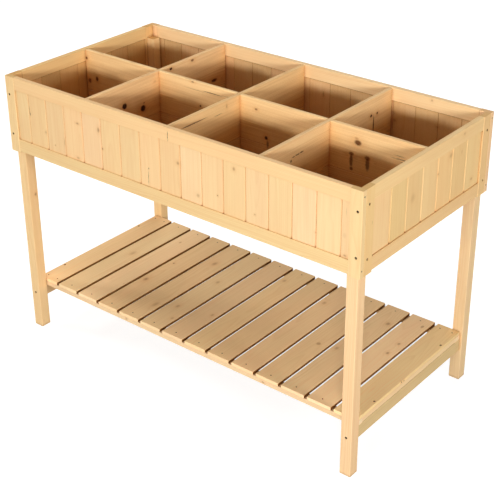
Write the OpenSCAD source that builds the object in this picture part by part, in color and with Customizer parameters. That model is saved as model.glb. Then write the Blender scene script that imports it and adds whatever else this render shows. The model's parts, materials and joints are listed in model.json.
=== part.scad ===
// Herb planter stand: a framed softwood box with eight pockets on four legs, and a slatted shelf below.
// The origin is the middle of the footprint on the floor, +Z is up and the front is at -Y. Millimetres.

/* [Overall size] */
// Length of the box, left to right
body_l = 1220; // [1000:10:1400]
// Width of the box, front to back
body_w = 612; // [500:2:720]
// Height from the floor to the rim
body_h = 828; // [650:2:950]
// Height of the box alone
box_h = 230; // [220:2:300]

/* [Panel frames] */
// Thickness of a stile
stile_t = 16; // [15.5:0.5:20]
// Width of a stile
stile_w = 35; // [32:1:50]
// Height of a top or bottom rail
rail_h = 38; // [32:1:46]
// How far the rails stand back from the outer faces of the stiles
rail_back = 1; // [0.5:0.5:2]
// How far the bottom rails stand above the feet of the stiles
rail_lift = 3; // [1:0.5:5]
// Depth of the groove that holds the boards
panel_groove = 6.5; // [4:0.5:7]

/* [Tongued boards] */
// Thickness of a board
board_t = 7.5; // [6:0.5:8.5]
// How far the boards lie behind the outer faces of the stiles
board_back = 5; // [4:0.5:5.5]
// Width that one board covers
board_pitch = 71.6; // [50:0.2:110]
// Width that shows of the first board of the front and back panels
long_first_board = 50.3; // [20:0.1:90]
// Width that shows of the first board of the end panels
end_first_board = 78.7; // [20:0.1:90]
// Narrowest strip that a board is cut to
least_strip = 10; // [5:1:20]
// Length of a tongue
tongue_l = 5; // [3:0.5:6]
// Thickness of a tongue
tongue_t = 2.6; // [2:0.2:3]
// Gap that shows between two boards
board_gap = 1; // [0.4:0.1:1.6]
// Bevel along the outer edges of a board
board_bevel = 2.2; // [0.6:0.2:3]

/* [Legs] */
// Side of the square legs
leg_w = 33; // [28:1:45]
// How far the legs stand in from the outer faces of the box
leg_inset = 11; // [6:0.5:14]
// How far the legs stop below the rim
leg_drop = 36; // [30:1:60]

/* [Dividers] */
// Thickness of a divider
divider_t = 12; // [8:1:18]
// How far the dividers stop below the rim
divider_drop = 2; // [0:1:10]
// Height of the upper board of a divider
divider_board_h = 126; // [90:1:150]
// Bevel along the edges of a divider
divider_bevel = 1.5; // [0.5:0.5:2]

/* [Box floor] */
// Thickness of a floor board
floor_t = 12; // [9:1:16]
// Width of a floor board, before the row is made to fit
floor_board_w = 78; // [60:1:120]
// Drainage gap between the floor boards
floor_gap = 6; // [3:0.5:10]
// Height of a floor bearer
bearer_h = 20; // [16:1:22]
// Width of a floor bearer
bearer_w = 25; // [22:1:28]

/* [Shelf] */
// Height of the shelf's top above the floor
shelf_z = 161; // [120:1:300]
// How far the ends of the shelf lie in from the ends of the box
shelf_in = 19.5; // [12:0.5:22]
// Thickness of a slat
slat_t = 10; // [8:0.5:14]
// Gap between two slats
slat_gap = 10; // [3:0.2:12]
// How much narrower the two outer slats are than the others
outer_slat_less = 4.5; // [0:0.5:12]
// Height of the battens under the slats
batten_h = 15; // [13:1:22]
// Width of the battens under the slats
batten_w = 27; // [24:1:40]
// Height of the end rails that carry the shelf
end_rail_h = 38; // [30:1:60]
// Thickness of the end rails
end_rail_t = 18; // [14:1:24]

/* [Screws and nails] */
// Diameter of a screw's shank
screw_d = 3.5; // [3:0.5:4]
// Diameter of a screw's head
screw_head_d = 7; // [6:0.5:8]
// Height of a screw's head
screw_head_h = 2; // [1.5:0.5:2.5]
// Depth of a screw's head below the wood
screw_sink = 2; // [1:0.5:3]
// Length of a short screw
short_screw_l = 33; // [30:1:34]
// Length of a long screw
long_screw_l = 58; // [50:1:70]
// Diameter of a nail
nail_d = 2; // [1.6:0.2:2.4]
// Diameter of a nail's head
nail_head_d = 4; // [3:0.5:5]
// Height of a nail's head
nail_head_h = 0.8; // [0.6:0.2:1.2]
// Depth of a nail's head below the wood
nail_sink = 0.4; // [0.2:0.2:1]
// Length of a short nail
short_nail_l = 21; // [18:1:22]
// Length of a long nail
long_nail_l = 60; // [50:1:70]

/* [Places of screws and nails] */
// Distance of the front and back panels' screws from the ends of the box
long_screw_in = 13; // [11:0.5:13]
// Depth below the rim of those panels' upper screws
long_screw_high = 55; // [50:1:65]
// Depth below the rim of those panels' lower screws
long_screw_low = 176; // [150:1:180]
// Depth below the rim of the end panels' upper screws
end_screw_high = 43; // [38:1:46]
// Depth below the rim of the end panels' lower screws
end_screw_low = 187.5; // [160:0.5:200]
// How far the nails lie off the middle of a rail, towards its outer edge
rail_nail_off = 2.5; // [0:0.5:5]
// Distance of the slats' nails from the ends of the slats
slat_nail_in = 18.5; // [14:0.5:20]
// Distance of the outer slats' outer nails from the ends of the shelf
outer_nail_in = 14.5; // [12:0.5:20]
// Distance of the outer slats' inner nails from the first gap
inner_nail_in = 17; // [12:0.5:24]
// Distance of the shelf's screws from its middle line
shelf_screw_y = 168; // [100:1:180]
// How far the screws in the shelf's end rails lie above the middle of the rails
leg_screw_up = 2; // [0:0.5:4]
// Distance between the screws of a floor bearer
bearer_screw_pitch = 300; // [200:10:320]

/* [Clearances] */
// Play of the boards in their tongues and grooves
joint_clear = 0.4; // [0.2:0.1:0.8]
// Play of a divider in a half lap
lap_clear = 0.3; // [0.2:0.1:0.8]
// Play of the shelf and the floor between the legs
fit_clear = 0.5; // [0.3:0.1:0.9]
// Play of a screw or nail in its hole
hole_clear = 0.1; // [0.05:0.05:0.3]
// Bevel along the long edges of the sawn timber
edge_bevel = 1; // [0.5:0.5:2]

/* [Hidden] */
slat_n = 14;
cross_n = 3;
tongue_share = 0.58;
least_lip = 0.6;
bearer_screw_n = 4;
over = 1;
round_sides = 32;

box_z = body_h - box_h;
rail_t = stile_t - rail_back;
end_l = body_w - 2 * stile_t;
inner_l = body_l - 2 * stile_t;
inner_w = body_w - 2 * stile_t;
board_z = rail_lift + rail_h - panel_groove;
board_h = box_h - rail_h + panel_groove - joint_clear - board_z;
tongue_y = board_back + board_t * tongue_share;
front_lip = tongue_y - (tongue_t + joint_clear) / 2 - board_back;
joint_bevel = min(board_bevel, front_lip - least_lip);

leg_rebate = stile_t - leg_inset;
leg_top_w = leg_w - leg_rebate;
leg_clear_l = body_l - 2 * (leg_inset + leg_w);
leg_clear_w = body_w - 2 * (leg_inset + leg_w);

bearer_z = box_z + rail_lift;
floor_z = bearer_z + bearer_h;
floor_top = floor_z + floor_t;
floor_l = inner_l - 2 * fit_clear;
floor_n = round((floor_l + floor_gap) / (floor_board_w + floor_gap));
floor_fit_w = (floor_l - (floor_n - 1) * floor_gap) / floor_n;
floor_pitch = floor_fit_w + floor_gap;

divider_top = body_h - divider_drop;
divider_seam = divider_top - divider_board_h;
pocket_l = (inner_l - cross_n * divider_t) / (cross_n + 1);
cross_pitch = pocket_l + divider_t;

shelf_l = body_l - 2 * shelf_in;
shelf_w = leg_clear_w - 2 * fit_clear;
slat_w = (shelf_l - (slat_n - 1) * slat_gap + 2 * outer_slat_less) / slat_n;
outer_slat_w = slat_w - outer_slat_less;
slat_pitch = slat_w + slat_gap;
batten_z = shelf_z - slat_t - batten_h;
end_rail_z = batten_z - end_rail_h;
end_rail_x = body_l / 2 - leg_inset - leg_w / 2;
leg_screw_z = end_rail_z + end_rail_h / 2 + leg_screw_up;

pale_fir = [0.97, 0.85, 0.65];
warm_fir = [0.86, 0.71, 0.50];
steel = [0.55, 0.53, 0.50];

slat_names = [for (i = [1 : slat_n]) str("slat_", i)];

// Sawn timber with bevelled long edges, from its lowest corner: section a by b, along X, Y or Z
module section(a, b, c) {
    polygon([[c, 0], [a - c, 0], [a, c], [a, b - c], [a - c, b], [c, b], [0, b - c], [0, c]]);
}

module bar_x(l, a, b, c = edge_bevel) {
    rotate([90, 0, 90]) linear_extrude(l) section(a, b, c);
}

module bar_y(l, a, b, c = edge_bevel) {
    mirror([0, 1, 0]) rotate([90, 0, 0]) linear_extrude(l) section(a, b, c);
}

module bar_z(l, a, b, c = edge_bevel) {
    linear_extrude(l) section(a, b, c);
}

// Fasteners that enter the wood at z = 0 and point down
module screw(l) {
    slot_l = screw_head_d * 0.6;
    slot_w = screw_head_d * 0.15;
    slot_d = screw_head_h * 0.5;
    difference() {
        rotate_extrude($fn = round_sides)
            polygon([
                [0, -screw_sink],
                [screw_head_d / 2, -screw_sink],
                [screw_head_d / 2, -screw_sink - screw_head_h],
                [screw_d / 2, -screw_sink - screw_head_h],
                [screw_d / 2, -screw_sink - l + screw_d],
                [0, -screw_sink - l]
            ]);
        for (turn = [0, 90])
            rotate([0, 0, turn])
                translate([-slot_l / 2, -slot_w / 2, -screw_sink - slot_d])
                    cube([slot_l, slot_w, slot_d + over]);
    }
}

module nail(l) {
    rotate_extrude($fn = round_sides)
        polygon([
            [0, -nail_sink],
            [nail_head_d / 2, -nail_sink],
            [nail_head_d / 2, -nail_sink - nail_head_h],
            [nail_d / 2, -nail_sink - nail_head_h],
            [nail_d / 2, -nail_sink - l + nail_d],
            [0, -nail_sink - l]
        ]);
}

module fastener_hole(l, d, head_d, seat) {
    translate([0, 0, -l - hole_clear])
        cylinder(d = d + 2 * hole_clear, h = l, $fn = round_sides);
    translate([0, 0, -seat])
        cylinder(d = head_d + 2 * hole_clear, h = seat + over, $fn = round_sides);
}

module screw_hole(l) {
    fastener_hole(screw_sink + l, screw_d, screw_head_d, screw_sink + screw_head_h);
}

module nail_hole(l) {
    fastener_hole(nail_sink + l, nail_d, nail_head_d, nail_sink + nail_head_h);
}

// Panels: drawn with the outer face at y = 0, the left end at x = 0 and the stiles' feet at z = 0
function is_long(side) = side == "front" || side == "back";
function run(side) = is_long(side) ? body_l : end_l;
function first_board(side) = is_long(side) ? long_first_board : end_first_board;
function board_n(side) =
    1 + ceil((run(side) - 2 * stile_w - first_board(side) - least_strip) / board_pitch);
function board_joint(side, i) = stile_w + first_board(side) + i * board_pitch;

module panel(side) {
    turn = side == "front" ? 0 : side == "right" ? 90 : side == "back" ? 180 : 270;
    reach = is_long(side) ? body_w : body_l;
    rotate([0, 0, turn]) translate([-run(side) / 2, -reach / 2, box_z]) children();
}

module at_end(side, far) {
    if (far) translate([run(side), 0, 0]) mirror([1, 0, 0]) children();
    else children();
}

// Screws through the face of a stile, and through the front or back stile into an end stile
module face_screws(side) {
    long_places = [[long_screw_in, long_screw_high], [long_screw_in, long_screw_low]];
    leg_middle = leg_top_w / 2;
    end_places = [[leg_middle, end_screw_high], [leg_middle, end_screw_low]];
    for (p = is_long(side) ? long_places : end_places)
        translate([p[0], 0, box_h - p[1]]) rotate([90, 0, 0]) children();
}

module edge_screws() {
    for (drop = [long_screw_high, long_screw_low])
        translate([-stile_t, long_screw_in, box_h - drop]) rotate([0, -90, 0]) children();
}

module edge_nails() {
    low = rail_lift + rail_h / 2 - rail_nail_off;
    high = box_h - rail_h / 2 + rail_nail_off;
    for (z = [low, high])
        translate([0, stile_t / 2, z]) rotate([0, -90, 0]) children();
}

module bearer_screws() {
    first = -(bearer_screw_n - 1) / 2 * bearer_screw_pitch;
    for (i = [0 : bearer_screw_n - 1])
        translate([
            body_l / 2 + first + i * bearer_screw_pitch,
            stile_t + bearer_w,
            rail_lift + bearer_h / 2
        ])
            rotate([-90, 0, 0]) children();
}

module stile(side, far) {
    color(pale_fir) panel(side) at_end(side, far) difference() {
        bar_z(box_h, stile_w, stile_t);
        translate([stile_w - panel_groove, board_back - joint_clear / 2, rail_h / 2])
            cube([panel_groove + over, board_t + joint_clear, box_h - rail_h]);
        face_screws(side) screw_hole(short_screw_l);
        edge_nails() nail_hole(long_nail_l);
        if (!is_long(side)) edge_screws() screw_hole(short_screw_l);
    }
}

module rail(side, top) {
    z = top ? box_h - rail_h : rail_lift;
    groove_z = top ? z - over : z + rail_h - panel_groove;
    color(pale_fir) panel(side) difference() {
        translate([stile_w, rail_back, z]) bar_x(run(side) - 2 * stile_w, rail_t, rail_h);
        translate([0, board_back - joint_clear / 2, groove_z])
            cube([run(side), board_t + joint_clear, panel_groove + over]);
        for (far = [false, true])
            at_end(side, far) edge_nails() nail_hole(long_nail_l);
        if (is_long(side) && !top) bearer_screws() screw_hole(short_screw_l);
    }
}

// One board in plan, from x0 to x1, with a groove on its left or a tongue on its right where it is joined
module board_plan(x0, x1, grooved, tongued) {
    back = board_back + board_t;
    bevel_0 = grooved ? joint_bevel : 0;
    bevel_1 = tongued ? joint_bevel : 0;
    groove_r = (tongue_t + joint_clear) / 2;
    groove_l = tongue_l + joint_clear;
    tongue = [
        [x1, tongue_y - tongue_t / 2],
        [x1 + tongue_l, tongue_y - tongue_t / 2],
        [x1 + tongue_l, tongue_y + tongue_t / 2],
        [x1, tongue_y + tongue_t / 2]
    ];
    groove = [
        [x0, tongue_y + groove_r],
        [x0 + groove_l, tongue_y + groove_r],
        [x0 + groove_l, tongue_y - groove_r],
        [x0, tongue_y - groove_r]
    ];
    polygon(concat(
        [[x0 + bevel_0, board_back], [x1 - bevel_1, board_back]],
        tongued ? concat([[x1, board_back + bevel_1]], tongue) : [],
        [[x1, back], [x0, back]],
        grooved ? concat(groove, [[x0, board_back + bevel_0]]) : []
    ));
}

module boards(side) {
    n = board_n(side);
    housed = panel_groove - joint_clear;
    color(pale_fir) panel(side) translate([0, 0, board_z])
        for (i = [0 : n - 1]) {
            x0 = i == 0 ? stile_w - housed : board_joint(side, i - 1) + board_gap / 2;
            x1 = i == n - 1 ? run(side) - stile_w + housed : board_joint(side, i) - board_gap / 2;
            linear_extrude(board_h) board_plan(x0, x1, i > 0, i < n - 1);
        }
}

// Legs: drawn at the front left, with the box's panels on the shoulders of the rebates
module at_corner(right, back) {
    mirror([right ? 1 : 0, 0, 0]) mirror([0, back ? 1 : 0, 0])
        translate([-body_l / 2, -body_w / 2, 0]) children();
}

module leg_screw() {
    translate([leg_inset + leg_w / 2, leg_inset, leg_screw_z]) rotate([90, 0, 0]) children();
}

module leg(right, back) {
    leg_h = body_h - leg_drop;
    color(pale_fir) at_corner(right, back) difference() {
        translate([leg_inset, leg_inset, 0]) bar_z(leg_h, leg_w, leg_w);
        translate([0, 0, box_z]) cube([stile_t, leg_inset + leg_w + over, leg_h]);
        translate([0, 0, box_z]) cube([leg_inset + leg_w + over, stile_t, leg_h]);
        leg_screw() screw_hole(long_screw_l);
        for (drop = [end_screw_high, end_screw_low])
            translate([0, stile_t + leg_top_w / 2, body_h - drop])
                rotate([0, -90, 0]) screw_hole(short_screw_l);
    }
}

// Dividers: half-lapped boards in two layers, the lower layer on the floor of the box
module long_divider(z0, z1) {
    h = z1 - z0;
    color(warm_fir) difference() {
        translate([-inner_l / 2, -divider_t / 2, z0]) bar_x(inner_l, divider_t, h, divider_bevel);
        for (i = [-1 : 1])
            translate([i * cross_pitch - divider_t / 2 - lap_clear, -divider_t, z0 + h / 2])
                cube([divider_t + 2 * lap_clear, 2 * divider_t, h]);
    }
}

module cross_divider(place, z0, z1) {
    h = z1 - z0;
    color(warm_fir) translate([place * cross_pitch, 0, 0]) difference() {
        translate([-divider_t / 2, -inner_w / 2, z0]) bar_y(inner_w, divider_t, h, divider_bevel);
        translate([-divider_t, -divider_t / 2 - lap_clear, z0 - h / 2])
            cube([2 * divider_t, divider_t + 2 * lap_clear, h]);
    }
}

// Floor of the box
module floor_nail() {
    for (i = [0 : floor_n - 1])
        for (y = [-1, 1])
            translate([
                -floor_l / 2 + i * floor_pitch + floor_fit_w / 2,
                y * (inner_w - bearer_w) / 2,
                floor_top
            ])
                children();
}

module floor_bearer(side) {
    l = inner_l - 2 * leg_top_w - 2 * fit_clear;
    color(warm_fir) difference() {
        panel(side) difference() {
            translate([(body_l - l) / 2, stile_t, rail_lift]) bar_x(l, bearer_w, bearer_h);
            bearer_screws() screw_hole(short_screw_l);
        }
        floor_nail() nail_hole(short_nail_l);
    }
}

module floor_boards() {
    notch = leg_top_w + fit_clear;
    board_l = inner_w - 2 * fit_clear;
    color(warm_fir) difference() {
        for (i = [0 : floor_n - 1])
            translate([-floor_l / 2 + i * floor_pitch, -board_l / 2, floor_z])
                bar_y(board_l, floor_fit_w, floor_t);
        for (x = [-1, 1])
            for (y = [-1, 1])
                translate([x * inner_l / 2 - notch, y * inner_w / 2 - notch, floor_z - over])
                    cube([2 * notch, 2 * notch, floor_t + 2 * over]);
        floor_nail() nail_hole(short_nail_l);
    }
}

// Shelf
function is_outer(i) = i == 1 || i == slat_n;
function width_of(i) = is_outer(i) ? outer_slat_w : slat_w;
function slat_x(i) = -shelf_l / 2 + (i == 1 ? 0 : (i - 1) * slat_pitch - outer_slat_less);
function slat_nails(i) =
    i == 1 ? [outer_nail_in, outer_slat_w - inner_nail_in]
    : i == slat_n ? [inner_nail_in, outer_slat_w - outer_nail_in]
    : [slat_w / 2];

module slat_nail(i) {
    for (x = slat_nails(i))
        for (y = [-1, 1])
            translate([slat_x(i) + x, y * (shelf_w / 2 - slat_nail_in), shelf_z]) children();
}

module shelf_screw(right) {
    for (y = [-1, 1])
        translate([(right ? 1 : -1) * end_rail_x, y * shelf_screw_y, shelf_z]) children();
}

module slat(i) {
    color(warm_fir) difference() {
        translate([slat_x(i), -shelf_w / 2, shelf_z - slat_t]) bar_y(shelf_w, width_of(i), slat_t);
        slat_nail(i) nail_hole(short_nail_l);
        if (is_outer(i)) shelf_screw(i == slat_n) screw_hole(short_screw_l);
    }
}

module long_batten(back) {
    color(warm_fir) difference() {
        translate([-shelf_l / 2, back ? shelf_w / 2 - batten_w : -shelf_w / 2, batten_z])
            bar_x(shelf_l, batten_w, batten_h);
        for (i = [1 : slat_n]) slat_nail(i) nail_hole(short_nail_l);
    }
}

module end_batten(right) {
    l = shelf_w - 2 * batten_w;
    color(warm_fir) difference() {
        translate([right ? shelf_l / 2 - batten_w : -shelf_l / 2, -l / 2, batten_z])
            bar_y(l, batten_w, batten_h);
        shelf_screw(right) screw_hole(short_screw_l);
    }
}

module shelf_end_rail(right) {
    color(pale_fir) difference() {
        translate([(right ? 1 : -1) * end_rail_x - end_rail_t / 2, -leg_clear_w / 2, end_rail_z])
            bar_y(leg_clear_w, end_rail_t, end_rail_h);
        shelf_screw(right) screw_hole(short_screw_l);
        for (back = [false, true])
            at_corner(right, back) leg_screw() screw_hole(long_screw_l);
    }
}

// Fasteners, in groups of one length
module short_screws() {
    color(steel) {
        for (side = ["front", "back", "left", "right"])
            for (far = [false, true])
                panel(side) at_end(side, far) face_screws(side) screw(short_screw_l);
        for (side = ["front", "back"])
            panel(side) bearer_screws() screw(short_screw_l);
        for (right = [false, true])
            shelf_screw(right) screw(short_screw_l);
    }
}

module long_screws() {
    color(steel)
        for (right = [false, true])
            for (back = [false, true])
                at_corner(right, back) leg_screw() screw(long_screw_l);
}

module short_nails() {
    color(steel) {
        for (i = [1 : slat_n]) slat_nail(i) nail(short_nail_l);
        floor_nail() nail(short_nail_l);
    }
}

module long_nails() {
    color(steel)
        for (side = ["front", "back", "left", "right"])
            for (far = [false, true])
                panel(side) at_end(side, far) edge_nails() nail(long_nail_l);
}

leg(false, false);  // leg_front_left
leg(true, false);  // leg_front_right
leg(false, true);  // leg_back_left
leg(true, true);  // leg_back_right

rail("front", true);  // front_top_rail
rail("front", false);  // front_bottom_rail
stile("front", false);  // front_left_stile
stile("front", true);  // front_right_stile
boards("front");  // front_boards

rail("back", true);  // back_top_rail
rail("back", false);  // back_bottom_rail
stile("back", false);  // back_right_stile
stile("back", true);  // back_left_stile
boards("back");  // back_boards

rail("left", true);  // left_top_rail
rail("left", false);  // left_bottom_rail
stile("left", false);  // left_back_stile
stile("left", true);  // left_front_stile
boards("left");  // left_boards

rail("right", true);  // right_top_rail
rail("right", false);  // right_bottom_rail
stile("right", false);  // right_front_stile
stile("right", true);  // right_back_stile
boards("right");  // right_boards

long_divider(divider_seam, divider_top);  // long_divider_upper
long_divider(floor_top, divider_seam);  // long_divider_lower
cross_divider(-1, divider_seam, divider_top);  // cross_divider_left_upper
cross_divider(-1, floor_top, divider_seam);  // cross_divider_left_lower
cross_divider(0, divider_seam, divider_top);  // cross_divider_middle_upper
cross_divider(0, floor_top, divider_seam);  // cross_divider_middle_lower
cross_divider(1, divider_seam, divider_top);  // cross_divider_right_upper
cross_divider(1, floor_top, divider_seam);  // cross_divider_right_lower

floor_bearer("front");  // floor_bearer_front
floor_bearer("back");  // floor_bearer_back
floor_boards();

long_batten(false);  // shelf_batten_front
long_batten(true);  // shelf_batten_back
end_batten(false);  // shelf_batten_left
end_batten(true);  // shelf_batten_right
shelf_end_rail(false);  // shelf_end_rail_left
shelf_end_rail(true);  // shelf_end_rail_right
for (i = [1 : slat_n])
    slat(i);

short_screws();
long_screws();
short_nails();
long_nails();
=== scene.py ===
import json
import math
import random

import bmesh
import bpy
from mathutils import Matrix, Vector, noise


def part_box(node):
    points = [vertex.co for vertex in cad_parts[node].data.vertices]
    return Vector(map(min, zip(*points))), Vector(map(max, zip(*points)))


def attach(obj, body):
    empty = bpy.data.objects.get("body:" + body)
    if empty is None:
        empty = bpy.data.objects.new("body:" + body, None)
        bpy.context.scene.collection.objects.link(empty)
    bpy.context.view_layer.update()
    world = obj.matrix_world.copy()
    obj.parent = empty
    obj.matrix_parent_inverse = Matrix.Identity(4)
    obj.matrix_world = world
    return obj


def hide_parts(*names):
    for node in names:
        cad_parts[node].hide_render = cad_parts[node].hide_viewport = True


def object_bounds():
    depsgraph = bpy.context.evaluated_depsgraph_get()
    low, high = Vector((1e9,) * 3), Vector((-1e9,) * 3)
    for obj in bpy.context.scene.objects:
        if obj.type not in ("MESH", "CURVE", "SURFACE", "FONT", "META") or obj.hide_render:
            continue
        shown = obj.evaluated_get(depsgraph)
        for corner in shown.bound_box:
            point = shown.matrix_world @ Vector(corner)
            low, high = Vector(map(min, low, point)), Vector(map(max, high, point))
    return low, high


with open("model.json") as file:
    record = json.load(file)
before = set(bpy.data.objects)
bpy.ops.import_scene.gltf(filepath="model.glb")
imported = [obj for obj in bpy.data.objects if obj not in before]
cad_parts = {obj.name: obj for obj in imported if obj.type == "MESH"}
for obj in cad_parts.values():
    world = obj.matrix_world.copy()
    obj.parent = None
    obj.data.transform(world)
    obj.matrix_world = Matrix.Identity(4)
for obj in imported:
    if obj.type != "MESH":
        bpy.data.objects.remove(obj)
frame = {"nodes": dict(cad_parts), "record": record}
CAD_BOX = [list(corner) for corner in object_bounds()]
NODES = frame["nodes"]
MM = 0.001
HALF_LENGTH, HALF_WIDTH = CAD_BOX[1][:2]


# Camera of the photograph

IMAGE_PX = 500
SENSOR_MM = 36
CAMERA_PLACE = Vector((1.9034, -2.3112, 1.9840))
CAMERA_AZIMUTH = 38.709
CAMERA_PITCH = 26.881
CAMERA_ROLL = -0.202
FOCAL_PX = 1172.6
CENTRE_PX = (254.7, 210.9)


def make_camera():
    azimuth, pitch, roll = (math.radians(a) for a in (CAMERA_AZIMUTH, CAMERA_PITCH, CAMERA_ROLL))
    back = Vector((
        math.sin(azimuth) * math.cos(pitch),
        -math.cos(azimuth) * math.cos(pitch),
        math.sin(pitch),
    ))
    level = Vector((0, 0, 1)).cross(back).normalized()
    upright = back.cross(level)
    right = math.cos(roll) * level + math.sin(roll) * upright
    up = math.cos(roll) * upright - math.sin(roll) * level
    turn = Matrix((right, up, back)).transposed()
    lens = bpy.data.cameras.new("camera")
    lens.sensor_width = SENSOR_MM
    lens.lens = FOCAL_PX * SENSOR_MM / IMAGE_PX
    lens.shift_x = (IMAGE_PX / 2 - CENTRE_PX[0]) / IMAGE_PX
    lens.shift_y = (CENTRE_PX[1] - IMAGE_PX / 2) / IMAGE_PX
    camera = bpy.data.objects.new("camera", lens)
    camera.matrix_world = Matrix.Translation(CAMERA_PLACE) @ turn.to_4x4()
    bpy.context.scene.collection.objects.link(camera)
    bpy.context.scene.camera = camera


# Node trees

class Tree:
    """A material's node tree, with short calls for the nodes that the materials here use."""

    def __init__(self, name):
        self.material = bpy.data.materials.new(name)
        self.material.use_nodes = True
        self.nodes = self.material.node_tree.nodes
        self.links = self.material.node_tree.links
        self.shader = self.nodes["Principled BSDF"]

    def feed(self, socket, value):
        if isinstance(value, bpy.types.NodeSocket):
            self.links.new(value, socket)
        elif value is not None:
            socket.default_value = value

    def attribute(self, name, output):
        node = self.nodes.new("ShaderNodeAttribute")
        node.attribute_name = name
        return node.outputs[output]

    def math(self, operation, a, b=None, c=None, clamp=False):
        node = self.nodes.new("ShaderNodeMath")
        node.operation = operation
        node.use_clamp = clamp
        for socket, value in zip(node.inputs, (a, b, c)):
            self.feed(socket, value)
        return node.outputs[0]

    def vector(self, operation, a, b=None, output=0):
        node = self.nodes.new("ShaderNodeVectorMath")
        node.operation = operation
        self.feed(node.inputs[0], a)
        self.feed(node.inputs[1], b)
        return node.outputs[output]

    def split(self, vector):
        node = self.nodes.new("ShaderNodeSeparateXYZ")
        self.feed(node.inputs[0], vector)
        return node.outputs

    def noise(self, vector, scale, detail=2.0, roughness=0.5):
        node = self.nodes.new("ShaderNodeTexNoise")
        self.feed(node.inputs["Vector"], vector)
        node.inputs["Scale"].default_value = scale
        node.inputs["Detail"].default_value = detail
        node.inputs["Roughness"].default_value = roughness
        return node.outputs[0]

    def spread(self, value, low, high, to_low=0.0, to_high=1.0, smooth=False):
        node = self.nodes.new("ShaderNodeMapRange")
        node.interpolation_type = "SMOOTHSTEP" if smooth else "LINEAR"
        for socket, setting in zip(node.inputs, (value, low, high, to_low, to_high)):
            self.feed(socket, setting)
        return node.outputs[0]

    def mix(self, share, a, b, blend="MIX"):
        node = self.nodes.new("ShaderNodeMix")
        node.data_type = "RGBA"
        node.blend_type = blend
        self.feed(node.inputs["Factor"], share)
        self.feed(node.inputs["A"], a)
        self.feed(node.inputs["B"], b)
        return node.outputs["Result"]

    def tone(self, share, colour, by):
        """The colour, multiplied by another where the share is full."""
        return self.mix(share, colour, self.mix(1.0, colour, by, "MULTIPLY"))

    def finish(self, colour, roughness, height=None, depth=0.001):
        self.feed(self.shader.inputs["Base Color"], colour)
        self.feed(self.shader.inputs["Roughness"], roughness)
        if height is not None:
            bump = self.nodes.new("ShaderNodeBump")
            bump.inputs["Strength"].default_value = 1.0
            bump.inputs["Distance"].default_value = depth
            self.feed(bump.inputs["Height"], height)
            self.links.new(bump.outputs[0], self.shader.inputs["Normal"])
        return self.material


def srgb(r, g, b):
    """A colour as the screen shows it, from 0 to 255, as the linear colour that a shader takes."""
    def linear(v):
        v /= 255
        return v / 12.92 if v <= 0.04045 else ((v + 0.055) / 1.055) ** 2.4
    return (linear(r), linear(g), linear(b), 1.0)


# Timber: the grain attribute holds a point's place along the grain and across it, from the tree's heart

# A year's ring: its step, how its dark late wood sets in, how far it wanders, and where rings fade out
RING_STEP = 0.0034
RING_CURVE, LATE_FROM, RING_BREAK = 2.2, 0.12, 0.90
SLOW_STRETCH = (1.6, 9.0)
RING_WANDER = 0.016
RING_PUSH = 0.005
RING_PATCHES = 2.2
RING_FADE = (0.3, 0.75, 0.25, 1.0)

# Streaks, bands and clouds in the wood, and the range of each noise that shows
STREAK_STRETCH, STREAK_RANGE = (14.0, 900.0), (0.35, 0.75)
BAND_STRETCH, BAND_RANGE = (2.2, 150.0), (0.42, 0.72)
CLOUD_STRETCH, CLOUD_RANGE = (5.0, 22.0), (0.38, 0.8)
STREAK_ROUGH, BAND_ROUGH = 0.6, 0.55
FINE_DETAIL = 3.0

# Pin knots: the share of the cells that hold one, and its edge
PIN_STRETCH = (9.0, 16.0)
PIN_CELLS, PIN_EDGE, PIN_DEPTH = (0.86, 0.88), (0.04, 0.09), 0.5

# Knots, cracks and painted shadow dots and lines: their edges in parts of their half sizes, and how far the
# grain swells around them
WEAK_MARK = 0.6
WEAK_EDGE, STRONG_EDGE = (0.10, 1.55), (0.55, 1.35)
SWELL_FROM, SWELL_REACH = 0.6, 4.0
MARK_MARGIN = 0.012
RAGGED, RAGGED_SCALE = 0.0016, 210.0
HALO_DEPTH = 0.35
KNOT_PATCHES, KNOT_PATCH_RANGE = 260.0, (0.40, 0.75)
KNOT_RIM, KNOT_FULL = (0.35, 0.85), 0.8

# Shade in joints and pockets: how far wood counts, and how open a point is at full and at no shade
OPEN_SAMPLES = 8
CREVICE_REACH, CREVICE_RANGE = 0.014, (0.15, 0.80)
POCKET_REACH, POCKET_RANGE = 0.32, (0.12, 0.47)

# Surface of planed fir
FIR_SPECULAR = 0.10
FIR_ROUGH = (0.3, 0.7, 0.58, 0.76)
STREAK_RELIEF, RING_RELIEF, CRACK_RELIEF = 0.35, 0.5, 2.0
FIR_RELIEF = 0.00018

KNOT_AND_SHADOW_DARK, KNOT_AND_SHADOW_BROWN, KNOT_TAN = srgb(40, 22, 12), srgb(112, 62, 30), srgb(160, 98, 52)
KNOT_HALO = srgb(214, 142, 78)
CRACK_AND_SHADOW_BROWN = srgb(84, 50, 26)
PEACH_WOOD = srgb(244, 190, 140)
RESIN = srgb(160, 96, 48)
END_GRAIN = (0.84, 0.76, 0.62, 1)
SLAT_ENDS = (1.10, 1.13, 1.24, 1)
SLAT_SIDE_SHADE = (0.36, 0.24, 0.12, 1)
# What the painted shade in crevices and pockets multiplies the colour by
DARK_CREVICE = (0.36, 0.22, 0.12, 1)
WARM_CREVICE = (0.80, 0.54, 0.38, 1)
POCKET_SHADE = (0.71, 0.56, 0.33, 1)


def mark(x, y, z, across, up, depth=0.9):
    """A knot, a crack or a painted shadow dot at a place in millimetres: half its width, half its height, and
    how dark it is.
    """
    return (Vector((x, y, z)) * MM, Vector((across, across, up)) * MM, depth)


def flat_mark(x, y, z, across, along, depth=0.9):
    """The same on a face that looks up: half its width, and half its length front to back."""
    return (Vector((x, y, z)) * MM, Vector((across, along, across)) * MM, depth)


def long_mark(x, y, z, half_x, half_y, half_z, depth=0.9):
    """A streak, a crack or a painted shadow line, with half its extent along each axis."""
    return (Vector((x, y, z)) * MM, Vector((half_x, half_y, half_z)) * MM, depth)


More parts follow.
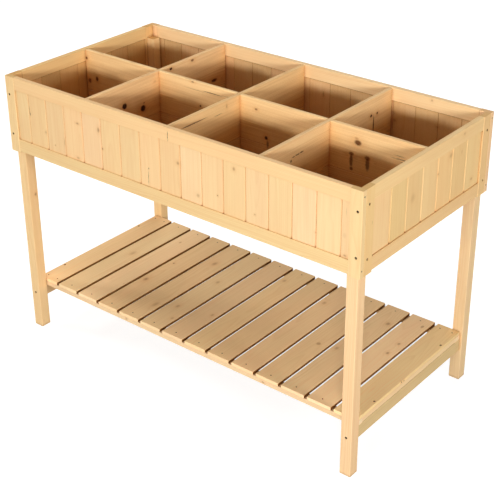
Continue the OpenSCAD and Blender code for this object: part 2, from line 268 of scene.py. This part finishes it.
def mark_fields(tree, place, marks):
    """How deep a point lies in the nearest mark, and how near it is to it."""
    core, swell = 0.0, 0.0
    for middle, half, depth in marks:
        scaled = tree.vector("DIVIDE", tree.vector("SUBTRACT", place, middle), half)
        distance = tree.vector("LENGTH", scaled, output=1)
        inner, outer = WEAK_EDGE if depth < WEAK_MARK else STRONG_EDGE
        core = tree.math("MAXIMUM", core, tree.spread(distance, inner, outer, depth, 0.0, smooth=True))
        near = tree.spread(distance, SWELL_FROM, SWELL_REACH, depth, 0.0, smooth=True)
        swell = tree.math("MAXIMUM", swell, near)
    return core, swell


def stretch(tree, grain, along, across):
    """The grain's place with its length and its width scaled apart, for a noise."""
    return tree.vector("MULTIPLY", grain, (along, across, across))


def ragged(tree, place):
    """A place pushed about a little, so that the marks there get an uneven outline."""
    push = tree.nodes.new("ShaderNodeTexNoise")
    tree.feed(push.inputs["Vector"], place)
    push.inputs["Scale"].default_value = RAGGED_SCALE
    push.inputs["Detail"].default_value = 2.0
    centred = tree.vector("SUBTRACT", push.outputs["Color"], (0.5, 0.5, 0.5))
    return tree.vector("ADD", place, tree.vector("MULTIPLY", centred, (RAGGED * 2,) * 3))


def enclosed(tree, reach, full, none):
    """How far the wood within reach shuts a point in, as it does in a joint, a gap or a box; this sets where
    shade is painted.
    """
    open_sky = tree.nodes.new("ShaderNodeAmbientOcclusion")
    open_sky.samples = OPEN_SAMPLES
    open_sky.inputs["Distance"].default_value = reach
    return tree.spread(open_sky.outputs["AO"], full, none, 1.0, 0.0)


def year_rings(tree, grain, swell):
    """The growth rings, bent around the knots, faint in some places."""
    across, deep = tree.split(grain)[1:]
    slow = stretch(tree, grain, *SLOW_STRETCH)
    wander = tree.spread(tree.noise(slow, 1.0, FINE_DETAIL), 0.0, 1.0, -RING_WANDER, RING_WANDER)
    radius = tree.math("SQRT", tree.math("ADD", tree.math("MULTIPLY", across, across),
                                         tree.math("MULTIPLY", deep, deep)))
    bent = tree.math("ADD", tree.math("ADD", radius, wander), tree.math("MULTIPLY", swell, RING_PUSH))
    ring = tree.math("FRACT", tree.math("DIVIDE", bent, RING_STEP))
    late_band = tree.spread(tree.math("POWER", ring, RING_CURVE), LATE_FROM, 1.0)
    ring_edge = tree.spread(ring, RING_BREAK, 1.0, 1.0, 0.0)
    rings = tree.math("MULTIPLY", late_band, ring_edge)
    return tree.math("MULTIPLY", rings, tree.spread(tree.noise(slow, RING_PATCHES), *RING_FADE))


def plain_wood(tree, grain, look, rings, streak):
    """The wood's colour between its knots."""
    early, late, depth = look["early"], look["late"], look["streaks"]
    band = tree.noise(stretch(tree, grain, *BAND_STRETCH), 1.0, FINE_DETAIL, BAND_ROUGH)
    cloud = tree.noise(stretch(tree, grain, *CLOUD_STRETCH), 1.0, FINE_DETAIL)
    colour = tree.mix(tree.math("MULTIPLY", rings, look["rings"]), early, late)
    colour = tree.mix(tree.spread(streak, *STREAK_RANGE, 0.0, depth / 2), colour, late)
    colour = tree.mix(tree.spread(band, *BAND_RANGE, 0.0, depth), colour, late)
    colour = tree.mix(tree.spread(cloud, *CLOUD_RANGE, 0.0, look["peach"]), colour, PEACH_WOOD)
    return tree.mix(1.0, colour, tree.attribute("tint", "Vector"), "MULTIPLY")


def with_pins(tree, colour, grain):
    """Adds pin knots, thinly scattered."""
    cell = tree.nodes.new("ShaderNodeTexVoronoi")
    tree.feed(cell.inputs["Vector"], stretch(tree, grain, *PIN_STRETCH))
    cell.inputs["Scale"].default_value = 1.0
    picked = tree.spread(tree.split(cell.outputs["Color"])[0], *PIN_CELLS)
    spot = tree.spread(cell.outputs["Distance"], *PIN_EDGE, 1.0, 0.0, smooth=True)
    pin = tree.math("MULTIPLY", spot, picked)
    return tree.mix(tree.math("MULTIPLY", pin, PIN_DEPTH), colour, RESIN)


def with_knots_and_shadow_dots(tree, colour, place, core, swell):
    """Adds the knots that show and the painted shadow dots, each in a warmer halo."""
    halo = tree.math("MULTIPLY", swell, tree.math("SUBTRACT", 1.0, core))
    colour = tree.mix(tree.math("MULTIPLY", halo, HALO_DEPTH), colour, KNOT_HALO)
    patches = tree.spread(tree.noise(place, KNOT_PATCHES, FINE_DETAIL), *KNOT_PATCH_RANGE)
    mark_colour = tree.mix(patches, KNOT_AND_SHADOW_DARK, KNOT_AND_SHADOW_BROWN)
    mark_colour = tree.mix(tree.spread(core, *KNOT_RIM), KNOT_TAN, mark_colour)
    return tree.mix(tree.spread(core, 0.0, KNOT_FULL), colour, mark_colour)


def fir(name, look, knots=(), cracks=()):
    """Fir timber with one slot's look and one piece's own knots and cracks, some of them painted shadow dots
    and lines; joints, gaps and pockets get painted shade.
    """
    tree = Tree(name)
    grain = tree.attribute("grain", "Vector")
    place = tree.nodes.new("ShaderNodeTexCoord").outputs["Object"]
    uneven = ragged(tree, place)
    core, swell = mark_fields(tree, uneven, knots)
    split = mark_fields(tree, uneven, cracks)[0]
    streak = tree.noise(stretch(tree, grain, *STREAK_STRETCH), 1.0, FINE_DETAIL, STREAK_ROUGH)
    rings = year_rings(tree, grain, swell)

    colour = plain_wood(tree, grain, look, rings, streak)
    colour = with_pins(tree, colour, grain)
    colour = with_knots_and_shadow_dots(tree, colour, place, core, swell)
    # Cracks, and the painted shadow lines under the top rails
    colour = tree.mix(split, colour, CRACK_AND_SHADOW_BROWN)
    colour = tree.tone(tree.attribute("end_grain", "Fac"), colour, look["ends"])
    # Painted shade on the slats' sides down in the gaps between them
    colour = tree.tone(tree.attribute("gap_side", "Fac"), colour, SLAT_SIDE_SHADE)
    # Painted shade: darker where nearby wood shuts a point in, in joints and gaps and low in the pockets
    colour = tree.tone(enclosed(tree, CREVICE_REACH, *CREVICE_RANGE), colour, look["crevice"])
    if look["pocket"]:
        colour = tree.tone(enclosed(tree, POCKET_REACH, *POCKET_RANGE), colour, POCKET_SHADE)

    rough = tree.spread(streak, *FIR_ROUGH)
    height = tree.math("ADD", tree.math("MULTIPLY", streak, STREAK_RELIEF),
                       tree.math("MULTIPLY", rings, RING_RELIEF))
    height = tree.math("SUBTRACT", height, tree.math("MULTIPLY", split, CRACK_RELIEF))
    tree.shader.inputs["Specular IOR Level"].default_value = FIR_SPECULAR
    return tree.finish(colour, rough, height, FIR_RELIEF)


STAIN_SCALE, STEEL_SCALE = 420.0, 2600.0
STAIN_RANGE = (0.35, 0.7)
STEEL_RELIEF = 0.00004


def steel(name, base, dark, roughness):
    """Dull, stained steel of the screw and nail heads."""
    tree = Tree(name)
    place = tree.nodes.new("ShaderNodeNewGeometry").outputs["Position"]
    stain = tree.noise(place, STAIN_SCALE, 4.0, 0.6)
    fine = tree.noise(place, STEEL_SCALE)
    colour = tree.mix(tree.spread(stain, *STAIN_RANGE), base, dark)
    tree.shader.inputs["Metallic"].default_value = 1.0
    rough = tree.spread(stain, 0.3, 0.7, roughness - 0.1, roughness + 0.15)
    return tree.finish(colour, rough, fine, STEEL_RELIEF)


# Timber meshes: each piece keeps its solid's joints and holes, and gets worn arrises and a slight wave

WELD = 0.00002
FLAT = math.radians(1)
ARRIS = 0.0004
SHARP = math.radians(30)
SMOOTH = math.radians(40)
SLICE_PLAY = 1e-6
WAVE_STEP = 0.055
WAVE, WAVE_TURNS, WAVE_APART = 0.00016, 5, 9
GRAIN_SHIFT = 50
HEART_SIDE = 0.030
HEART_NEAR, HEART_FAR = 0.012, 0.060
TAPER = 0.02
GRAIN_FINE, GRAIN_COARSE = 1.15, 0.55
FACING = 0.8
SHELF_END = 0.045


def grain_axis(node):
    """0, 1 or 2 for timber that runs along X, Y or Z."""
    upright = ("front_boards", "back_boards", "left_boards", "right_boards")
    if node.startswith("leg_") or node.endswith("_stile") or node in upright:
        return 2
    along_x = ("front_top", "front_bottom", "back_top", "back_bottom", "long_divider", "floor_bearer",
               "shelf_batten_front", "shelf_batten_back")
    return 0 if node.startswith(along_x) else 1


def islands(bm):
    """The separate pieces of wood in a mesh, as sets of vertices, in a steady order."""
    left = set(bm.verts)
    found = []
    for start in bm.verts:
        if start not in left:
            continue
        group, queue = set(), [start]
        left.discard(start)
        while queue:
            vert = queue.pop()
            group.add(vert)
            for edge in vert.link_edges:
                other = edge.other_vert(vert)
                if other in left:
                    left.discard(other)
                    queue.append(other)
        found.append(group)
    return found


def ease(bm):
    """Rounds the arrises of sawn timber a little."""
    edges = [e for e in bm.edges
             if len(e.link_faces) == 2 and e.calc_face_angle(0) > SHARP and e.is_convex]
    bmesh.ops.bevel(bm, geom=edges, offset=ARRIS, segments=2, profile=0.5, affect="EDGES",
                    clamp_overlap=True)


def slice_along(bm, axis, low, high):
    """Cuts rings of vertices along the grain, so that the faces can wave."""
    normal = Vector([1.0 if i == axis else 0.0 for i in range(3)])
    count = int((high - low) / WAVE_STEP)
    for i in range(1, count):
        point = normal * (low + (high - low) * i / count)
        geom = list(bm.verts) + list(bm.edges) + list(bm.faces)
        bmesh.ops.bisect_plane(bm, geom=geom, dist=SLICE_PLAY, plane_co=point, plane_no=normal)


# What a group of pieces is multiplied by, and how far one piece's wood may differ from the next
TINTS_AND_SHADE = {
    # Painted shade: the right_ and left_ entries darken and yellow the end panels' wood for how the light
    # falls on them
    "right_": (0.99, 0.965, 0.86),
    "left_": (0.95, 0.88, 0.72),
    "front_top_rail": (0.97, 0.95, 0.86),
    "back_top_rail": (1.01, 1.05, 1.05),
    "long_divider": (1.06, 1.07, 1.08),
    "leg_back_right": (1.02, 1.07, 1.09),
    "shelf_batten": (1.16, 1.22, 1.34),
}
LIGHT_SPREAD, PINK_SPREAD, WARM_SPREAD = (-0.05, 0.03), (-0.02, 0.02), (-0.05, 0.04)
BLUE_SWING = 1.6
# Painted light on the shelf: slats paler towards its ends and front, and darker towards its back, than in the
# middle under the box
LEFT_SLATS_PALER, RIGHT_SLATS_PALER = 0.14, 0.26
SLAT_FRONT_PALER, SLAT_BACK_PALER = 0.30, -0.10


def wood_tint_and_shade(chance, node):
    """What one piece of wood's colour is multiplied by: a little lighter or darker, greener or pinker, times
    its group's tint, which for the end panels is painted shade.
    """
    light = chance.uniform(*LIGHT_SPREAD)
    pink = chance.uniform(*PINK_SPREAD)
    warm = chance.uniform(*WARM_SPREAD)
    tint = (1.0 + light + pink, 1.0 + light - pink / 2, 1.0 + BLUE_SWING * light - warm)
    for start, own in TINTS_AND_SHADE.items():
        if node.startswith(start):
            tint = tuple(a * b for a, b in zip(tint, own))
    return Vector(tint)


def painted_shelf_light(node, place):
    """Painted light and shade on a slat: how much paler or darker it is towards the shelf's edges than in the
    middle under the box.
    """
    if not node.startswith("slat_"):
        return 1.0
    end = RIGHT_SLATS_PALER if place.x > 0 else LEFT_SLATS_PALER
    side = SLAT_FRONT_PALER if place.y < 0 else SLAT_BACK_PALER
    return 1.0 + end * (place.x / HALF_LENGTH) ** 2 + side * (place.y / HALF_WIDTH) ** 2


def timber(node, material):
    """Makes a piece of timber's mesh, in the place of its solid."""
    source = NODES[node]
    axis = grain_axis(node)
    side_a, side_b = [i for i in range(3) if i != axis]
    chance = random.Random(node)
    bm = bmesh.new()
    bm.from_mesh(source.data)
    bmesh.ops.remove_doubles(bm, verts=bm.verts, dist=WELD)
    bmesh.ops.dissolve_limit(bm, angle_limit=FLAT, verts=bm.verts, edges=bm.edges)
    ease(bm)
    low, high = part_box(node)
    slice_along(bm, axis, low[axis], high[axis])

    grain_layer = bm.verts.layers.float_vector.new("grain")
    tint_layer = bm.verts.layers.float_vector.new("tint")
    for group in islands(bm):
        middle = sum((v.co for v in group), Vector()) / len(group)
        shift = chance.uniform(0, GRAIN_SHIFT)
        heart_a = chance.uniform(-HEART_SIDE, HEART_SIDE)
        heart_b = chance.uniform(HEART_NEAR, HEART_FAR) * chance.choice((-1, 1))
        taper = chance.uniform(-TAPER, TAPER)
        scale = chance.uniform(GRAIN_COARSE, GRAIN_FINE)
        # The tint holds the end panels' painted shade too
        tint = wood_tint_and_shade(chance, node)
        for vert in group:
            local = vert.co - middle
            deep = local[side_b] + heart_b + taper * local[axis]
            vert[grain_layer] = (local[axis] + shift, (local[side_a] + heart_a) * scale, deep * scale)
            # The tint carries the shelf's painted light too
            vert[tint_layer] = tint * painted_shelf_light(node, vert.co)
            step = Vector((vert.co[axis] * WAVE_TURNS + shift, 0, 0))
            vert.co[side_a] += WAVE * noise.noise(step)
            vert.co[side_b] += WAVE * noise.noise(step + Vector((0, WAVE_APART, 0)))
    end_layer = bm.faces.layers.float.new("end_grain")
    gap_layer = bm.faces.layers.float.new("gap_side")
    for face in bm.faces:
        face[end_layer] = 1.0 if abs(face.normal[axis]) > FACING else 0.0
        # Painted shade goes on the slat sides that face the gaps
        in_gap = abs(face.calc_center_median().x) < HALF_LENGTH - SHELF_END
        shaded_slat_side = node.startswith("slat_") and abs(face.normal.x) > FACING
        face[gap_layer] = 1.0 if shaded_slat_side and in_gap else 0.0

    mesh = bpy.data.meshes.new(node + "_wood")
    bm.to_mesh(mesh)
    bm.free()
    mesh.shade_smooth()
    mesh.set_sharp_from_angle(angle=SMOOTH)
    mesh.materials.append(material)
    piece = bpy.data.objects.new(node + "_wood", mesh)
    bpy.context.scene.collection.objects.link(piece)
    shading = piece.modifiers.new("flat_faces_stay_flat", "WEIGHTED_NORMAL")
    shading.mode = "FACE_AREA"
    shading.keep_sharp = True
    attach(piece, "root")
    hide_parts(node)
    return piece


# Knots and cracks that show, and painted shadow dots and lines, at their places on the pieces' faces

FRONT_FACE, RIGHT_FACE, BACK_INNER_FACE, LEFT_INNER_FACE = -301, 605, 293.5, -597.5
LONG_DIVIDER = -6
LEFT_DIVIDER, MIDDLE_DIVIDER, RIGHT_DIVIDER = -294, 6, 306
SHELF_TOP, SHELF_RIGHT, BATTEN_FRONT = 161, 590, -262
BOTTOM_RAIL_TOP, TOP_RAIL_BOTTOM = 639, 789.5
BOARD_PITCH = 71.6
FRONT_JOINTS = [-524.7 + BOARD_PITCH * i for i in range(16)]
RIGHT_JOINTS = [-176.3 + BOARD_PITCH * i for i in range(6)]
KNOTS_AND_SHADOW_DOTS = [
    mark(-460, FRONT_FACE, 690, 3.5, 4, 0.30),
    mark(-424, FRONT_FACE, 660, 1.6, 1.6, 0.55),
    mark(-327, FRONT_FACE, 751, 5.5, 2.6, 0.45),
    mark(-246, FRONT_FACE, 753, 4, 7, 0.50),
    mark(-234, FRONT_FACE, 701, 2, 2.4, 0.65),
    mark(-334, FRONT_FACE, 646, 5.5, 3, 0.35),
    mark(-385, FRONT_FACE, 680, 2, 12, 0.28),
    mark(41, FRONT_FACE, 736, 4.5, 4.5, 0.45),
    mark(227, FRONT_FACE, 773, 4, 5, 0.45),
    mark(173, FRONT_FACE, 684, 1.8, 1.8, 0.6),
    mark(107, FRONT_FACE, 664, 5, 5, 0.32),
    mark(293, FRONT_FACE, 668, 2, 2, 0.45),
    mark(477, FRONT_FACE, 678, 2, 2.5, 0.5),
    mark(563, FRONT_FACE, 645, 5, 2.5, 0.45),
    mark(RIGHT_FACE, 101, 773, 8, 7, 0.28),
    mark(RIGHT_FACE, 219, 664, 5, 3.5, 0.38),
    mark(RIGHT_FACE, 156, 764, 2, 5, 0.25),
    mark(RIGHT_FACE, 42, 742, 2.4, 3, 0.45),
    mark(RIGHT_FACE, -76, 722, 10, 12, 0.16),
    mark(72, BACK_INNER_FACE, 751, 3, 9, 0.35),
    mark(316, BACK_INNER_FACE, 732, 5, 4, 0.32),
    mark(451, BACK_INNER_FACE, 746, 4, 3, 0.32),
    mark(609, 156, 815, 5, 4, 0.25),
    mark(-566.5, -272, 453, 4, 5, 0.5),
    mark(432, 290, 820, 3, 3, 0.4),
    mark(-582, LONG_DIVIDER, 730, 6, 8, 0.62),
    mark(-551, LONG_DIVIDER, 742, 6, 8, 0.72),
    mark(-590, LONG_DIVIDER, 800, 4, 5, 0.75),
    mark(LEFT_DIVIDER, -150, 762, 9, 9, 1.0),
    mark(LEFT_DIVIDER, -77, 733, 10, 10, 1.0),
    mark(LEFT_DIVIDER, -72, 748, 3, 3, 0.6),
    mark(LEFT_DIVIDER, -24, 799, 7, 4, 0.25),
    mark(LEFT_DIVIDER, 45, 817, 6, 4, 0.9),
    mark(LEFT_DIVIDER, 139, 817, 7, 4, 0.7),
    mark(LEFT_DIVIDER, 236, 726, 14, 5, 0.8),
    mark(-138, LONG_DIVIDER, 756, 3.5, 3.5, 0.7),
    mark(-165, LONG_DIVIDER, 822, 5, 2, 0.65),
    mark(MIDDLE_DIVIDER, -62, 809, 2.5, 6, 0.45),
    mark(62, LONG_DIVIDER, 796, 5, 3, 0.6),
    mark(97, LONG_DIVIDER, 721, 6, 6, 0.8),
    mark(394, LONG_DIVIDER, 787, 11, 8, 0.75),
    mark(375, LONG_DIVIDER, 752, 8, 5, 0.62),
    mark(424, LONG_DIVIDER, 752, 9, 6, 0.62),
    mark(RIGHT_DIVIDER, 188, 776, 4.5, 4.5, 0.9),
    mark(RIGHT_DIVIDER, 218, 775, 4, 4, 0.8),
    flat_mark(-465, 18, SHELF_TOP, 8, 14, 0.30),
    flat_mark(-319, -76, SHELF_TOP, 7, 10, 0.50),
    flat_mark(-318, 51, SHELF_TOP, 2.5, 3, 0.65),
    flat_mark(-214, 128, SHELF_TOP, 7, 12, 0.42),
    flat_mark(-132, 46, SHELF_TOP, 5, 8, 0.36),
    flat_mark(-194, -167, SHELF_TOP, 6, 14, 0.32),
    flat_mark(-135, -134, SHELF_TOP, 5, 8, 0.36),
    flat_mark(-103, -194, SHELF_TOP, 4, 6, 0.3),
    flat_mark(-22, -108, SHELF_TOP, 4, 6, 0.36),
    flat_mark(-353, -138, SHELF_TOP, 2, 3, 0.3),
    flat_mark(23, 180, SHELF_TOP, 5, 7, 0.36),
    flat_mark(195, 150, SHELF_TOP, 6, 8, 0.36),
    flat_mark(363, -25, SHELF_TOP, 5, 8, 0.36),
    flat_mark(407, 170, SHELF_TOP, 6, 8, 0.5),
    flat_mark(488, 100, SHELF_TOP, 4, 5, 0.5),
    flat_mark(488, 42, SHELF_TOP, 4, 6, 0.5),
    mark(SHELF_RIGHT, -48, 158, 2.2, 2.2, 0.9),
    mark(SHELF_RIGHT, -36, 156, 2.2, 2.2, 0.9),
    mark(-224, BATTEN_FRONT, 145, 4, 3, 0.4),
    mark(287, BATTEN_FRONT, 143, 4, 3, 0.4),
# Painted shadow: a dark dot where each board joint of the front and the right end meets the bottom rail
] + [
    mark(x, FRONT_FACE, BOTTOM_RAIL_TOP, 1.6, 1.6, 0.95) for x in FRONT_JOINTS
] + [
    mark(RIGHT_FACE, y, BOTTOM_RAIL_TOP, 1.6, 1.6, 0.95) for y in RIGHT_JOINTS
]
CRACKS_AND_SHADOW_LINES = [
    mark(-66, FRONT_FACE, 666, 0.8, 26, 0.8),
    mark(-64, FRONT_FACE, 691, 2.2, 2.4, 0.65),
    mark(-521, FRONT_FACE, 738, 0.8, 18, 0.6),
    mark(-520, FRONT_FACE, 730, 2, 5, 0.6),
    mark(563, FRONT_FACE, 760, 0.7, 12, 0.3),
    mark(12, -305, 805, 1.0, 14, 0.9),
    mark(610, -262, 732, 1.0, 5, 0.4),
    mark(610, 297, 670, 1.5, 4, 0.4),
    mark(102, LONG_DIVIDER, 704, 4, 12, 0.6),
    mark(375, LONG_DIVIDER, 733, 5, 20, 0.75),
    mark(376, LONG_DIVIDER, 710, 5, 5, 0.8),
    mark(425, LONG_DIVIDER, 735, 6, 18, 0.72),
    mark(RIGHT_DIVIDER, 201, 747, 2.6, 24, 0.95),
    mark(RIGHT_DIVIDER, 181, 735, 2.5, 3, 0.7),
    long_mark(-160, LONG_DIVIDER, 801, 38, 2, 0.9, 0.45),
    long_mark(-92, LONG_DIVIDER, 804, 36, 2, 1.1, 0.85),
    long_mark(-30, LONG_DIVIDER, 807, 32, 2, 0.9, 0.55),
    long_mark(MIDDLE_DIVIDER, -200, 803, 2, 52, 1.6, 0.85),
    long_mark(MIDDLE_DIVIDER, -98, 795, 2, 16, 1.0, 0.6),
    long_mark(RIGHT_DIVIDER, -128, 780, 2, 8, 2.0, 0.9),
    long_mark(RIGHT_DIVIDER, -146, 779, 2, 9, 1.6, 0.9),
    long_mark(RIGHT_DIVIDER, -162, 778, 2, 7, 1.4, 0.8),
    long_mark(RIGHT_DIVIDER, -172, 770, 2, 3, 4.0, 0.8),
    long_mark(520, LONG_DIVIDER, 784, 16, 2, 1.4, 0.55),
    long_mark(528, LONG_DIVIDER, 776, 18, 2, 1.6, 0.70),
    long_mark(540, LONG_DIVIDER, 769, 18, 2, 1.6, 0.75),
    long_mark(508, LONG_DIVIDER, 775, 14, 2, 1.2, 0.50),
    # Painted shadow: dark lines along the top rails' lower edges, on the inner faces of the back and left
    # boards
    long_mark(0, BACK_INNER_FACE, TOP_RAIL_BOTTOM, 1500, 3, 1.2, 0.6),
    long_mark(LEFT_INNER_FACE, 0, TOP_RAIL_BOTTOM, 3, 900, 1.2, 0.6),
]

LOOKS = {
    "frame_timber": dict(early=srgb(251, 215, 161), late=srgb(222, 158, 94), rings=0.35, streaks=0.16,
                         peach=0.20, ends=END_GRAIN, crevice=DARK_CREVICE, pocket=False),
    "board_timber": dict(early=srgb(251, 215, 162), late=srgb(222, 158, 98), rings=0.22, streaks=0.14,
                         peach=0.34, ends=END_GRAIN, crevice=WARM_CREVICE, pocket=True),
    "divider_timber": dict(early=srgb(250, 212, 153), late=srgb(190, 130, 72), rings=0.58, streaks=0.28,
                           peach=0.16, ends=END_GRAIN, crevice=WARM_CREVICE, pocket=True),
    "floor_timber": dict(early=srgb(176, 130, 84), late=srgb(132, 88, 50), rings=0.6, streaks=0.22,
                         peach=0.22, ends=END_GRAIN, crevice=DARK_CREVICE, pocket=False),
    "shelf_timber": dict(early=srgb(238, 203, 149), late=srgb(200, 146, 90), rings=0.34, streaks=0.12,
                         peach=0.28, ends=SLAT_ENDS, crevice=DARK_CREVICE, pocket=False),
}


def marks_on(node, marks):
    """The marks that lie on a piece."""
    low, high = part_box(node)
    return tuple(m for m in marks
                 if all(low[i] - MARK_MARGIN < m[0][i] < high[i] + MARK_MARGIN for i in range(3)))


def timber_material(made, node, slot):
    """The slot's wood, with the marks of this piece; pieces with no marks share one material."""
    knots, cracks = marks_on(node, KNOTS_AND_SHADOW_DOTS), marks_on(node, CRACKS_AND_SHADOW_LINES)
    name = slot + "_" + node if knots or cracks else slot
    if name not in made:
        made[name] = fir(name, LOOKS[slot], knots, cracks)
    return made[name]


def dress():
    """Gives each timber its mesh, and the screws and nails their steel."""
    made = {}
    metals = {
        "screw_steel": steel("screw_steel", srgb(34, 26, 20), srgb(14, 11, 9), 0.6),
        "nail_steel": steel("nail_steel", srgb(70, 48, 30), srgb(34, 24, 16), 0.6),
    }
    for part in frame["record"]["subparts"]:
        node, slot = part["node"], part["material_slot"]
        if slot in LOOKS:
            timber(node, timber_material(made, node, slot))
        else:
            metal = NODES[node].data.materials
            metal.clear()
            metal.append(metals[slot])


# Studio: white floor and backdrop, low lamps all round, two high ones at the left and the back, and one above

FLOOR_REACH = 14.0
FLOOR_GREY = (0.45, 0.45, 0.45, 1)
FLOOR_ROUGH, FLOOR_GLOW = 0.9, 0.80
WHITE = (1, 1, 1, 1)
WORLD_LIGHT = 0.07


def make_floor():
    tree = Tree("studio_floor")
    reach = FLOOR_REACH
    mesh = bpy.data.meshes.new("studio_floor")
    corners = [(-reach, -reach, 0), (reach, -reach, 0), (reach, reach, 0), (-reach, reach, 0)]
    mesh.from_pydata(corners, [], [(0, 1, 2, 3)])
    path = tree.nodes.new("ShaderNodeLightPath")
    seen = tree.math("MAXIMUM", path.outputs["Is Camera Ray"], path.outputs["Is Glossy Ray"])
    seen = tree.math("MAXIMUM", seen, path.outputs["Is Transmission Ray"])
    tree.shader.inputs["Base Color"].default_value = FLOOR_GREY
    tree.shader.inputs["Roughness"].default_value = FLOOR_ROUGH
    tree.shader.inputs["Specular IOR Level"].default_value = 0.0
    tree.shader.inputs["Emission Color"].default_value = WHITE
    tree.feed(tree.shader.inputs["Emission Strength"], tree.math("MULTIPLY", seen, FLOOR_GLOW))
    mesh.materials.append(tree.material)
    floor = bpy.data.objects.new("studio_floor", mesh)
    bpy.context.scene.collection.objects.link(floor)


def make_world():
    world = bpy.data.worlds.new("studio")
    bpy.context.scene.world = world
    world.use_nodes = True
    nodes, links = world.node_tree.nodes, world.node_tree.links
    plain = nodes["Background"]
    plain.inputs["Color"].default_value = WHITE
    plain.inputs["Strength"].default_value = WORLD_LIGHT
    white = nodes.new("ShaderNodeBackground")
    white.inputs["Color"].default_value = WHITE
    white.inputs["Strength"].default_value = 1.0
    path = nodes.new("ShaderNodeLightPath")
    joined = nodes.new("ShaderNodeMixShader")
    seen = nodes.new("ShaderNodeMath")
    seen.operation = "MAXIMUM"
    links.new(path.outputs["Is Camera Ray"], seen.inputs[0])
    links.new(path.outputs["Is Glossy Ray"], seen.inputs[1])
    links.new(seen.outputs[0], joined.inputs[0])
    links.new(plain.outputs[0], joined.inputs[1])
    links.new(white.outputs[0], joined.inputs[2])
    links.new(joined.outputs[0], nodes["World Output"].inputs["Surface"])


def make_lamp(name, place, aim, width, height, watts):
    data = bpy.data.lights.new(name, "AREA")
    data.shape = "RECTANGLE"
    data.size = width
    data.size_y = height
    data.energy = watts
    lamp = bpy.data.objects.new(name, data)
    lamp.location = place
    lamp.rotation_euler = (Vector(aim) - Vector(place)).to_track_quat("-Z", "Y").to_euler()
    bpy.context.scene.collection.objects.link(lamp)


MIDDLE = Vector((0.0, 0.0, 0.72))
# Bearing and height in degrees, distance, width and height in metres, watts
LAMPS = {
    "front": (9, 13, 5.4, 2.0, 0.4, 90),
    "key": (38, 9.5, 5.4, 0.9, 0.6, 131),
    "side": (80, 13, 5.4, 0.9, 0.9, 88),
    "back": (210, 42, 5.5, 2.0, 1.6, 62),
    "rear": (190, 12, 5.4, 2.0, 0.6, 52),
    "left": (-70, 20, 5.4, 0.9, 0.6, 62),
    "left_high": (-88, 52, 5.4, 1.4, 1.2, 50),
    "top": (0, 80, 5.4, 2.4, 1.6, 28),
}


def lamp_place(bearing, height, distance):
    """A lamp's place from its bearing to the right of the front and its angle above level."""
    turn, rise = math.radians(bearing), math.radians(height)
    away = Vector((math.cos(rise) * math.sin(turn), -math.cos(rise) * math.cos(turn), math.sin(rise)))
    return MIDDLE + distance * away


def make_studio():
    make_floor()
    make_world()
    for name, (bearing, height, distance, across, up, watts) in LAMPS.items():
        make_lamp(name, lamp_place(bearing, height, distance), MIDDLE, across, up, watts)
    bpy.context.scene.view_settings.view_transform = "Standard"


make_camera()
dress()
make_studio()
